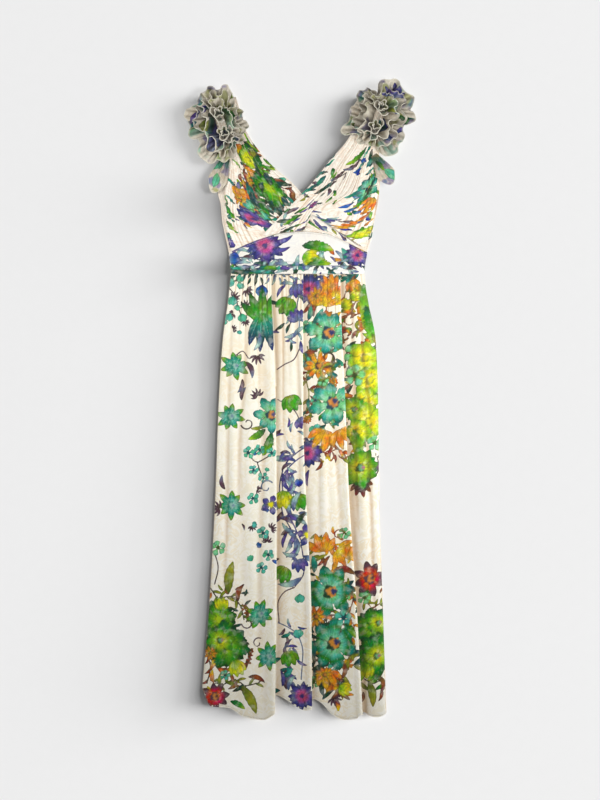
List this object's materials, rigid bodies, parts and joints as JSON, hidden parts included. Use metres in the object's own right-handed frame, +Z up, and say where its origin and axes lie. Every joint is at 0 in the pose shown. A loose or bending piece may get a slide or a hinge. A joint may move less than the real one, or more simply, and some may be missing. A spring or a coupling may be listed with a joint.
{
  "type": "maxi dress",
  "caption": "Sleeveless maxi dress laid flat on its back, with a crossed pleated bodice, ruffled rosettes on the shoulders, a tucked midriff and a long folded skirt.",
  "frame": {"origin": "middle of the bounding box, on the surface that the dress lies on", "axes": "+Y towards the shoulders, -Y towards the hem, +Z up out of the front of the dress, +X to the right when the front is seen from above"},
  "size_m": [0.5311, 1.4802, 0.046],
  "materials": {
    "skirt_cloth": "cream jacquard with a bright flower print, soft sheen",
    "midriff_cloth": "cream jacquard with a bright flower print, soft sheen",
    "bodice_cloth": "finely pleated cream cloth with a bright flower print, matte",
    "rosette_cloth": "thin taupe and cream cloth with patches of print, pale rolled edges"
  },
  "bodies": {
    "root": {"skirt_front": "skirt_cloth", "skirt_back": "skirt_cloth", "midriff_front": "midriff_cloth", "midriff_back": "midriff_cloth", "bodice_front_left": "bodice_cloth", "bodice_front_right": "bodice_cloth", "bodice_back": "bodice_cloth", "rosette_left_flounce_outer": "rosette_cloth", "rosette_left_flounce_middle": "rosette_cloth", "rosette_left_flounce_inner": "rosette_cloth", "rosette_left_swirl_upper": "rosette_cloth", "rosette_left_swirl_lower": "rosette_cloth", "rosette_left_tail": "rosette_cloth", "rosette_right_flounce_outer": "rosette_cloth", "rosette_right_flounce_middle": "rosette_cloth", "rosette_right_flounce_inner": "rosette_cloth", "rosette_right_swirl_upper": "rosette_cloth", "rosette_right_swirl_lower": "rosette_cloth", "rosette_right_tail": "rosette_cloth"}
  },
  "joints": []
}
